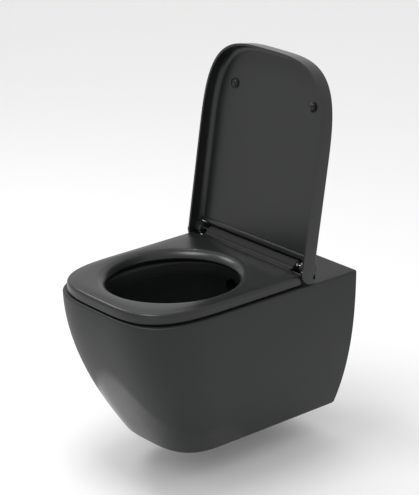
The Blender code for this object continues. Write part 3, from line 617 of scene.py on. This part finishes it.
def glazed_skin():
    """The pan's outside, its deck and its bowl as one unbroken skin."""
    sizes = bpy.context.scene.toilet_pan
    rings = []
    for sine, cosine in quarter(5)[:-1]:
        outline = pan_outline(PAN_HEIGHT, sizes.base_edge * (1 - sine))
        rings.append(at(outline, PAN_LOW.z + sizes.base_edge * (1 - cosine)))
    steps = 30
    low, high = PAN_HEIGHT - sizes.base_edge, sizes.rim_edge
    for i in range(steps + 1):
        depth = blend(low, high, i / steps)
        rings.append(at(pan_outline(depth), RIM - depth))
    for sine, cosine in quarter(6)[1:]:
        depth = sizes.rim_edge * (1 - sine)
        rings.append(at(pan_outline(depth, sizes.rim_edge * (1 - cosine)), RIM - depth))
    edge = pan_outline(0.0, sizes.rim_edge)
    mouth = sizes.mouth_edge
    lip = bowl_ring(edge, 1.0, 1.0, 0.0, mouth)
    for share in (0.25, 0.5, 0.75, 0.9, 1.0):
        flat = [(blend(a[0], b[0], share), blend(a[1], b[1], share)) for a, b in zip(edge, lip)]
        rings.append(at(flat, RIM))
    for sine, cosine in quarter(8)[1:]:
        rings.append(at(bowl_ring(edge, 1.0, 1.0, 0.0, mouth * (1 - sine)), RIM - mouth * (1 - cosine)))
    clear = RIM - mouth - 0.001
    for depth, *shares in bowl_profile(40):
        z = RIM - SUMP_DEPTH * depth
        if z < clear:
            rings.append(at(bowl_ring(edge, *shares), z))
    return loft("pan_glaze", rings)


def trap_route(past):
    """(y, z, radius) along the passage: down out of the sump, up over the weir, out of the back."""
    sump = RIM - SUMP_DEPTH + TRAP_RADIUS + SUMP_FLOOR
    points = [
        (SUMP_CENTRE - 0.010, sump + 0.002, TRAP_RADIUS),
        (SUMP_CENTRE + 0.025, sump, TRAP_RADIUS),
        (SUMP_CENTRE + 0.062, sump + 0.018, TRAP_RADIUS),
        (SUMP_CENTRE + 0.088, sump + 0.048, TRAP_RADIUS),
        (SUMP_CENTRE + 0.112, sump + 0.080, TRAP_RADIUS),
        (SUMP_CENTRE + 0.140, OUTLET_Z + 0.030, 0.029),
        (SUMP_CENTRE + 0.180, OUTLET_Z + 0.024, 0.033),
        (SUMP_CENTRE + 0.220, OUTLET_Z + 0.008, 0.039),
        (-0.040, OUTLET_Z, OUTLET_RADIUS),
        (-0.002 + past, OUTLET_Z, OUTLET_RADIUS),
    ]
    return curve(points, TRAP_STEPS)


def trapway(wall, past):
    """The passage from the sump over its weir to the outlet, as a tool with its radius larger by wall."""
    route = trap_route(past)
    rings = []
    for i, (y, z, radius) in enumerate(route):
        before, after = route[max(i - 1, 0)], route[min(i + 1, len(route) - 1)]
        along = Vector((0, after[0] - before[0], after[1] - before[1])).normalized()
        if y > TRAP_STRAIGHT:
            along = Vector((0, 1, 0))
        up = Vector((1, 0, 0)).cross(along)
        full = radius + wall
        turns = [math.tau * k / TRAP_SIDES for k in range(TRAP_SIDES)]
        rings.append([
            Vector((full * math.cos(t), y, z)) + up * full * math.sin(t) for t in turns
        ])
    return loft("trapway_tool", rings)


def rod(name, radius, start, end, centre=(0, 0, 0), along="Z", sides=48):
    """A plain cylinder used as a tool, its ends at start and end along an axis through centre."""
    deselect()
    bpy.ops.mesh.primitive_cylinder_add(vertices=sides, radius=radius, depth=abs(end - start))
    piece = bpy.context.object
    piece.name = name
    turns = {"X": Matrix.Rotation(math.pi / 2, 4, "Y"), "Y": Matrix.Rotation(-math.pi / 2, 4, "X"),
             "Z": Matrix.Identity(4)}
    middle = Matrix.Translation((0, 0, (start + end) / 2))
    piece.data.transform(Matrix.Translation(centre) @ turns[along] @ middle)
    return piece


def box(name, low, high, rounding=0.0, axis="Z"):
    """A box between two corners. Its edges along one axis may be rounded."""
    deselect()
    bpy.ops.mesh.primitive_cube_add(size=1.0)
    piece = bpy.context.object
    piece.name = name
    low, high = Vector(low), Vector(high)
    place = Matrix.Translation((low + high) / 2) @ Matrix.Diagonal((*(high - low), 1))
    piece.data.transform(place)
    if rounding:
        mesh = edit(piece)
        for side in mesh.edges:
            run = side.verts[0].co - side.verts[1].co
            side.select_set(abs(run["XYZ".index(axis)]) > TINY)
        bmesh.update_edit_mesh(piece.data)
        bpy.ops.mesh.bevel(offset=rounding, segments=6, affect="EDGES")
        leave_edit(piece)
    return piece


def hollow_room(skin):
    """The room between the bowl and the skin, less the walls of the bowl, the trapway and the inlet."""
    steps = 12
    depths = [blend(DECK, PAN_HEIGHT - BASE_FLOOR, i / steps) for i in range(steps + 1)]
    room = loft("hollow_tool", [at(pan_outline(d, skin, -BACK_PLATE), RIM - d) for d in depths])
    cut(room, bowl_wall())
    cut(room, trapway(TRAP_WALL, 0.0))
    start, end = BOWL_REAR - BOWL_WALL / 2, -BACK_PLATE / 2
    cut(room, rod("inlet_wall_tool", INLET_RADIUS + INLET_WALL, start, end, (0, 0, INLET_Z), "Y"))
    return room


def back_plate_cuts(pan):
    """What is bored into the pan from behind, from above and from below."""
    outlet, inlet = (0, 0, OUTLET_Z), (0, 0, INLET_Z)
    room = rod("connector_tool", SPIGOT_ROOM, -SPIGOT_DEPTH, PAST, outlet, "Y", 64)
    cut(room, rod("spigot_tool", SPIGOT_RADIUS, -0.030, -0.002, outlet, "Y", 64))
    cut(pan, room)
    cut(pan, trapway(0.0, PAST))
    cut(pan, rod("inlet_tool", INLET_RADIUS, -INLET_DEPTH, PAST, inlet, "Y"))
    cut(pan, rod("flush_tool", FLUSH_RADIUS, BOWL_REAR - 0.030, PAST - INLET_DEPTH, inlet, "Y"))
    for sign in (-1, 1):
        fixing = (sign * FIXING_HALF_SPACING, 0, 0)
        cut(pan, rod("fixing_tool", FIXING_RADIUS, -FIXING_DEPTH, PAST, fixing, "Y"))
        post = (sign * POST_HALF_SPACING, AXIS.y, RIM)
        cut(pan, rod("hinge_tool", POST_HOLE_RADIUS, -POST_HOLE_DEPTH, PAST, post))
        inner, outer = sorted((sign * WINDOW_INNER, sign * WINDOW_OUTER))
        low, high = (inner, -WINDOW_DEPTH, WINDOW_LOW), (outer, PAST, WINDOW_HIGH)
        cut(pan, box("window_tool", low, high, WINDOW_CORNER, "Y"))
    low = (-UNDERSIDE_HALF, UNDERSIDE_FRONT, PAN_LOW.z - PAST)
    high = (UNDERSIDE_HALF, UNDERSIDE_REAR, PAN_LOW.z + UNDERSIDE_RISE)
    cut(pan, box("underside_tool", low, high, UNDERSIDE_CORNER))


class TOILET_OT_pan(bpy.types.Operator):
    """Builds the glazed ceramic pan"""

    bl_idname = "toilet.pan"
    bl_label = "Pan"

    def execute(self, context):
        pan = glazed_skin()
        cut(pan, hollow_room(context.scene.toilet_pan.skin))
        back_plate_cuts(pan)
        settle(pan, "pan_body", "matt_ceramic", "pan", angle=30)
        return {"FINISHED"}


# ---------------------------------------------------------------- seat


HOOD_INNER, HOOD_OUTER = 0.0068, 0.0088
LID_REAR = 0.0155                       # from the hinge axis forward to the rear edge of the lid's panel
LUG_INNER, LUG_OUTER = 0.1253, 0.1378
SEAT_BACK = AXIS.y - 0.0185
SEAT_UNDER = 0.0036
SEAT_HALF = PAN_HIGH.x - 0.0080
SEAT_FRONT = PAN_LOW.y + 0.0043
SEAT_BOW, SEAT_BACK_CORNER = 0.2237, 0.010
SEAT_PIN, SEAT_BUSH, BUSH_DEPTH = 0.0029, 0.0054, 0.006         # the lug's bore, and its bush's seat
LIFT_LENGTH, LIFT_FADE, LIFT_SIDE = 0.050, 0.045, 0.022         # where the top rises to the rear edge
HOOD_START, HOOD_END, HOOD_TIP = 138, 46, 40                    # degrees round the axis, from front to back
HOOD_ROOM, LUG_UNDER = (44, 195), -125                          # the room for the bar, and a lug's underside
LIP_CLEARANCE = 0.0006                  # from the hood to the lip of the closed lid
LIP_WIDTH, LIP_RISE = 0.0075, 0.003     # the rolled lip round the opening
SEAT_CEILING = 0.0100                   # from the seat's top down to its hollow underside
FRONT_SQUARENESS = 3.64                 # power of the front's curve on the seat and the lid
OPENING_CENTRE, OPENING_HALF_WIDTH, OPENING_HALF_LENGTH = -0.3485, 0.129, 0.1435


def arc(centre, radius, start, end, steps):
    """Points on an arc in a plane, angles in degrees."""
    angles = [math.radians(blend(start, end, i / steps)) for i in range(steps + 1)]
    return [(centre[0] + radius * math.cos(a), centre[1] + radius * math.sin(a)) for a in angles]


def slab(name, points, start, end):
    """An outline in the YZ plane, made a solid from x = start to x = end."""
    return loft(name, [[(x, y, z) for y, z in points] for x in (start, end)])


def seat_outline():
    """The seat's plan outline: a straight back with small corners, straight sides and a squarish front."""
    radius = SEAT_BACK_CORNER
    front = squarish(SEAT_HALF, SEAT_FRONT, SEAT_BOW, FRONT_SQUARENESS, 44)
    corner = arc((SEAT_HALF - radius, SEAT_BACK - radius), radius, 90, 0, 10)
    start = SEAT_BACK - radius
    side = [(SEAT_HALF, blend(start, front[-1][1], i / 10)) for i in range(1, 10)]
    right = corner + side
    across = SEAT_HALF - radius
    rear = [(blend(-across, across, i / 30), SEAT_BACK) for i in range(1, 30)]
    return right + front[::-1] + [(-x, y) for x, y in front[1:]] + [(-x, y) for x, y in right[::-1]] + rear


def opening_point(x, y):
    across, along = x / OPENING_HALF_WIDTH, (y - OPENING_CENTRE) / OPENING_HALF_LENGTH
    away = math.hypot(across, along)
    return Vector((x / away, OPENING_CENTRE + (y - OPENING_CENTRE) / away))


def seat_lift(x, y):
    """The rise of the seat's top towards its hooded rear edge."""
    along = ease((y - SEAT_BACK + LIFT_LENGTH) / LIFT_FADE)
    across = 1 - ease((abs(x) - LUG_OUTER) / LIFT_SIDE)
    return bpy.context.scene.toilet_seat.rise * along * across


def seat_section(x, y):
    """The seat's section, from its outer edge to its opening: crowned on top, hollow underneath."""
    sizes = bpy.context.scene.toilet_seat
    outer = Vector((x, y))
    inner = opening_point(x, y)
    width = (inner - outer).length
    inward = (inner - outer).normalized()
    top, under, round_edge = sizes.top, SEAT_UNDER, sizes.seat_edge
    edge, lip = top - 0.0015, LIP_WIDTH
    low_lip, ceiling, crest = under + LIP_RISE, top - SEAT_CEILING, 0.52 * width
    side = [(0.0010, under), (0.0003, under + 0.0003), (0.0, under + 0.0010)]
    side += [(0.0, blend(under, edge - round_edge, share)) for share in (0.35, 0.7)]
    side += arc((round_edge, edge - round_edge), round_edge, 180, 92, 8)
    crown = curve([
        (round_edge, edge), (crest * 0.7, top),
        (width - 0.0220, top - 0.0005), (width - 0.0150, top - 0.0022), (width - 0.0085, top - 0.0054),
        (width - 0.0035, top - 0.0100), (width - 0.0007, top - 0.0140), (width, low_lip + 0.003),
        (width - 0.12 * lip, low_lip), (width - 0.45 * lip, under),
    ])
    inside = [
        (width - lip - 0.002, under), (width - lip - 0.003, ceiling - 0.0052),
        (0.0075, ceiling), (0.0065, under),
    ]
    section = []
    for distance, z in side + crown + inside:
        place = outer + inward * distance
        lift = seat_lift(place.x, place.y) if z > ceiling + 0.001 else 0.0
        section.append((place.x, place.y, RIM + z + lift))
    return section


def hood_profile(hollow):
    """The seat's rear edge in side view: it runs back under the closed lid's lip and rolls over the bar.

    It is hollow under the hood, where the bar lies, and solid at a lug.
    """
    sizes = bpy.context.scene.toilet_seat
    y, z = AXIS.y, AXIS.z
    crest = RIM + sizes.top
    reach = LID_REAR - LIP_CLEARANCE
    over = arc((y, z), HOOD_OUTER, HOOD_START, HOOD_END, 18)
    front = curve([
        (SEAT_BACK - 0.018, crest - 0.0022), (SEAT_BACK - 0.012, crest + 0.0002),
        (SEAT_BACK - 0.005, crest + 0.0015), (y - reach, crest + sizes.rise),
        (y - reach + 0.0036, z + 0.0030), over[0],
    ])[:-1]
    if hollow:
        over += arc((y, z), (HOOD_INNER + HOOD_OUTER) / 2, HOOD_TIP, HOOD_TIP, 1)[:1]
        under = arc((y, z), HOOD_INNER, *HOOD_ROOM, 24)
    else:
        under = arc((y, z), HOOD_OUTER, HOOD_TIP, LUG_UNDER, 30)
    low = [(SEAT_BACK + 0.001, crest - 0.0075), (SEAT_BACK - 0.018, crest - 0.0085)]
    return front + over + under + low


class TOILET_OT_seat(bpy.types.Operator):
    """Moulds the seat with its hooded rear edge and its two hinge lugs"""

    bl_idname = "toilet.seat"
    bl_label = "Seat"

    def execute(self, context):
        seat = loft("seat_moulding", [seat_section(x, y) for x, y in seat_outline()], ends="join")
        across = LUG_INNER + 0.001
        join(seat, slab("hood_tool", hood_profile(hollow=True), -across, across))
        for sign in (-1, 1):
            start, end = sorted((sign * LUG_INNER, sign * LUG_OUTER))
            join(seat, slab("lug_tool", hood_profile(hollow=False), start, end))
            start, end = sorted((sign * (LUG_INNER - PAST), sign * (LUG_OUTER + PAST)))
            cut(seat, rod("pin_tool", SEAT_PIN, start, end, AXIS, "X", 32))
            start, end = sorted((sign * (LUG_OUTER - BUSH_DEPTH), sign * (LUG_OUTER + PAST)))
            cut(seat, rod("bush_tool", SEAT_BUSH, start, end, AXIS, "X", 48))
        # the seat's material paints shade on its hood
        settle(seat, "seat_body", "matt_thermoset", "seat", angle=40, look="thermoset_with_painted_hood_shade")
        return {"FINISHED"}


def turned(name, profile, centre, along="Z", sides=64):
    """A solid of revolution from (radius, height) pairs, from one end of its axis to the other."""
    turns = {"X": Matrix.Rotation(math.pi / 2, 4, "Y"), "Z": Matrix.Identity(4)}
    place = Matrix.Translation(centre) @ turns[along]
    angles = [math.tau * i / sides for i in range(sides)]
    rings = [[place @ Vector((r * math.cos(a), r * math.sin(a), h)) for a in angles] for r, h in profile]
    return loft(name, rings)


class TOILET_OT_bushes(bpy.types.Operator):
    """Turns the polished bushes in the seat's lugs"""

    bl_idname = "toilet.bushes"
    bl_label = "Seat bushes"

    def execute(self, context):
        for name, sign in (("left", -1), ("right", 1)):
            low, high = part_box("seat_bush_" + name)
            inner, outer = sorted((low.x, high.x), key=abs)
            radius = (high.z - low.z) / 2
            length, edge = abs(outer - inner), 0.0006
            profile = [(radius, 0)]
            profile += [(radius - edge * (1 - c), length - edge * (1 - s)) for s, c in quarter(5)]
            profile = [(r, inner + sign * h) for r, h in profile]
            bush = turned("bush_" + name, profile, (0, AXIS.y, AXIS.z), "X")
            cut(bush, rod("bore_tool", SEAT_PIN, low.x - PAST, high.x + PAST, AXIS, "X", 48))
            settle(bush, "seat_body", "polished_steel", "seat_bush_" + name, angle=40)
        return {"FINISHED"}


# ---------------------------------------------------------------- lid


LID_TOP = 0.0386
LID_FRONT = PAN_LOW.y - 0.0020
LID_HALF = PAN_HIGH.x - 0.0017
LID_BOW = 0.230
SKIRT_GAP = 0.0020                      # from the skirt's round rear corner down to the rim
LIP_THICKNESS, LIP_DEPTH, LIP_EDGE = 0.0090, 0.0038, 0.0016
BOSS_RADIUS, BOSS_INNER = 0.0143, 0.1560
LID_PIN, PIN_INNER, PIN_COVER = 0.0027, 0.146, 0.0025           # the bore, its start, and what closes it
SINK = 0.002                            # how far joined shapes reach into each other
CLEAR_BEHIND, CLEAR_ABOVE = 0.080, 0.060        # what the rear cut takes off behind and above the rim
BUFFER_RADIUS, BUFFER_FROM_SIDE, BUFFER_FROM_FRONT = 0.0105, 0.0623, 0.0965
BUFFER_RIM, BUFFER_SHOULDER = 0.0024, 0.0032


def lid_outline(inset, back):
    return bowed_front(LID_HALF - inset, LID_FRONT + inset, LID_BOW - inset, FRONT_SQUARENESS, back, 44)


def lid_shell(sizes):
    """The lid's shell, closed: a thin top with a rounded edge, and a skirt that is round at its rear."""
    top, low = RIM + LID_TOP, RIM + SEAT_UNDER
    rise = AXIS.z - RIM
    behind = AXIS.y + rise
    round_edge, panel = sizes.lid_edge, sizes.panel
    rings = [at(lid_outline(0, behind), low - PAST), at(lid_outline(0, behind), top - round_edge)]
    for sine, cosine in quarter(7)[1:]:
        rings.append(at(lid_outline(round_edge * (1 - cosine), behind), top - round_edge * (1 - sine)))
    lid = loft("lid_moulding", rings)
    swing = rise - SKIRT_GAP
    rear_angle = math.degrees(math.asin((LID_TOP - rise) / swing))
    profile = arc((AXIS.y, AXIS.z), swing, -90, rear_angle, 36)
    profile[0] = (AXIS.y, low)
    profile[-1] = (profile[-1][0], top + PAST)
    profile += [(LID_FRONT - PAST, top + PAST), (LID_FRONT - PAST, low)]
    keeper = slab("side_tool", profile, -LID_HALF - PAST, LID_HALF + PAST)
    boolean(lid, keeper, "INTERSECT")
    fillet = sizes.inner_fillet
    inner = top - panel
    hollow = [at(lid_outline(panel, behind + PAST), z) for z in (low - 2 * PAST, inner - fillet)]
    for sine, cosine in quarter(7)[1:]:
        outline = lid_outline(panel + fillet * (1 - cosine), behind + PAST)
        hollow.append(at(outline, inner - fillet * (1 - sine)))
    return cut(lid, loft("hollow_tool", hollow))


class TOILET_OT_lid(bpy.types.Operator):
    """Moulds the lid: a thin dished shell with a rear lip and two lugs, stood open"""

    bl_idname = "toilet.lid"
    bl_label = "Lid"

    def execute(self, context):
        sizes = context.scene.toilet_seat
        lid = lid_shell(sizes)
        side = LID_HALF - sizes.panel
        inner = RIM + LID_TOP - sizes.panel
        rear = AXIS.y - LID_REAR
        low, high = (-side, rear, RIM - PAST), (side, rear + CLEAR_BEHIND, RIM + CLEAR_ABOVE)
        cut(lid, box("rear_tool", low, high))
        reach = side + SINK
        thick, deep, soft = LIP_THICKNESS, LIP_DEPTH, LIP_EDGE
        lip = [(rear, inner + SINK), (rear - thick, inner + SINK)]
        lip += arc((rear - thick + soft, inner - deep + soft), soft, 180, 270, 6)
        lip += arc((rear - soft, inner - deep + soft), soft, 270, 360, 6)
        join(lid, slab("lip_tool", lip, -reach, reach))
        for sign in (-1, 1):
            start, end = sorted((sign * BOSS_INNER, sign * reach))
            join(lid, rod("boss_tool", BOSS_RADIUS, start, end, AXIS, "X", 64))
            start, end = sorted((sign * PIN_INNER, sign * (side - PIN_COVER)))
            cut(lid, rod("pin_tool", LID_PIN, start, end, AXIS, "X", 32))
        open_up(lid)
        settle(lid, "lid_body", "matt_thermoset", "lid", angle=40)
        return {"FINISHED"}


def open_up(piece):
    """Turns a piece of the lid that was made closed up to the open pose, about the hinge axis."""
    turn = Matrix.Rotation(LID_SWING, 4, "X")
    piece.data.transform(Matrix.Translation(AXIS) @ turn @ Matrix.Translation(-AXIS))


class TOILET_OT_lid_buffers(bpy.types.Operator):
    """Turns the two round buffers inside the lid"""

    bl_idname = "toilet.lid_buffers"
    bl_label = "Lid buffers"

    def execute(self, context):
        top = RIM + LID_TOP - context.scene.toilet_seat.panel - 0.0003
        low = RIM + context.scene.toilet_seat.top + 0.0006
        radius, rim, shoulder = BUFFER_RADIUS, top - BUFFER_RIM, top - BUFFER_SHOULDER
        neck = radius - 0.0018
        profile = [(radius - 0.0005, top), (radius, top - 0.0005), (radius, rim)]
        profile += [(radius - 0.0004, rim - 0.0004), (radius - 0.0016, rim - 0.0006), (neck, shoulder)]
        profile += [(neck * c, shoulder - (shoulder - low) * s) for s, c in quarter(12)[1:-1]]
        profile += [(0.0004, low)]
        for name, sign in (("left", -1), ("right", 1)):
            centre = (sign * (LID_HALF - BUFFER_FROM_SIDE), LID_FRONT + BUFFER_FROM_FRONT, 0)
            buffer = turned("buffer_" + name, profile, centre)
            open_up(buffer)
            settle(buffer, "lid_body", "rubber", "lid_buffer_" + name, angle=50)
        return {"FINISHED"}


class TOILET_OT_stage(bpy.types.Operator):
    """Lays the floor, hangs the lights and sets up the camera"""

    bl_idname = "toilet.stage"
    bl_label = "Stage"

    def execute(self, context):
        lay_floor()
        hang_lights()
        set_camera()
        return {"FINISHED"}


SEAT_HEIGHT = 0.400                     # the rim's usual height over the floor
ROOM_LIGHT = 0.86
PAN_MIDDLE = Vector((0, -0.28, RIM))
PANELS = (
    # name, where it hangs from the middle of the pan, width, height and power
    ("overhead_panel", (-0.10, -0.45, 1.9), 0.8, 0.6, 15),
    ("left_panel", (-1.5, -0.4, 1.6), 0.6, 0.6, 10),
    ("right_panel", (1.2, -1.6, 0.2), 0.9, 0.9, 1.5),
)
CAMERA_PLACE = Vector((2.852, -2.721, RIM + 1.488))
CAMERA_DOWN, CAMERA_ROUND = 20.715, 49.095      # degrees under the horizon, and round from looking along +Y
LENS, SENSOR = 141.4, 36


def lay_floor():
    deselect()
    bpy.ops.mesh.primitive_plane_add(size=60, location=(0, 0, RIM - SEAT_HEIGHT))
    floor = bpy.context.object
    floor.name = "studio_floor"
    floor.data.materials.append(studio_floor())


def hang_lights():
    """A bright soft room with a wide panel overhead, one at the left and a weaker one at the right."""
    world = bpy.data.worlds.new("studio")
    world.use_nodes = True
    background = world.node_tree.nodes["Background"]
    background.inputs["Color"].default_value = (1.0, 1.0, 1.0, 1)
    background.inputs["Strength"].default_value = ROOM_LIGHT
    bpy.context.scene.world = world
    for name, offset, width, height, power in PANELS:
        light = bpy.data.lights.new(name, "AREA")
        light.shape = "RECTANGLE"
        light.size = width
        light.size_y = height
        light.energy = power
        panel = bpy.data.objects.new(name, light)
        bpy.context.scene.collection.objects.link(panel)
        panel.location = PAN_MIDDLE + Vector(offset)
        panel.rotation_euler = (-Vector(offset)).to_track_quat("-Z", "Y").to_euler()


def set_camera():
    camera_data = bpy.data.cameras.new("camera")
    camera_data.lens = LENS
    camera_data.sensor_width = SENSOR
    camera = bpy.data.objects.new("camera", camera_data)
    bpy.context.scene.collection.objects.link(camera)
    camera.location = CAMERA_PLACE
    camera.rotation_euler = (math.radians(90 - CAMERA_DOWN), 0, math.radians(CAMERA_ROUND))
    bpy.context.scene.camera = camera
    bpy.context.scene.view_settings.view_transform = "Standard"


class TOILET_PT_sidebar(bpy.types.Panel):
    """Lists what builds the toilet"""

    bl_label = "Toilet"
    bl_idname = "TOILET_PT_sidebar"
    bl_space_type = "VIEW_3D"
    bl_region_type = "UI"
    bl_category = "Toilet"

    def draw(self, context):
        for operator in OPERATORS:
            self.layout.operator(operator.bl_idname)
        for group in (context.scene.toilet_pan, context.scene.toilet_seat, context.scene.toilet_finish):
            for name in group.__annotations__:
                self.layout.prop(group, name)


GROUPS = {"toilet_pan": PanSettings, "toilet_seat": SeatSettings, "toilet_finish": FinishSettings}
OPERATORS = (
    TOILET_OT_pan, TOILET_OT_seat, TOILET_OT_bushes, TOILET_OT_lid, TOILET_OT_lid_buffers, TOILET_OT_stage,
)


def register():
    for group in (*GROUPS.values(), *OPERATORS, TOILET_PT_sidebar):
        bpy.utils.register_class(group)
    for name, group in GROUPS.items():
        setattr(bpy.types.Scene, name, bpy.props.PointerProperty(type=group))


def unregister():
    for name in GROUPS:
        delattr(bpy.types.Scene, name)
    for group in (TOILET_PT_sidebar, *OPERATORS[::-1], *GROUPS.values()):
        bpy.utils.unregister_class(group)


def main():
    register()
    for operator in OPERATORS:
        action = getattr(bpy.ops.toilet, operator.bl_idname.split(".")[1])
        if action() != {"FINISHED"}:
            raise RuntimeError(operator.bl_label + " wasn't built")
    for name, node in frame["nodes"].items():
        if not node.hide_render:
            slot = next(s["material_slot"] for s in frame["record"]["subparts"] if s["node"] == name)
            node.data.materials.clear()
            node.data.materials.append(material(slot))


if __name__ == "__main__":
    main()
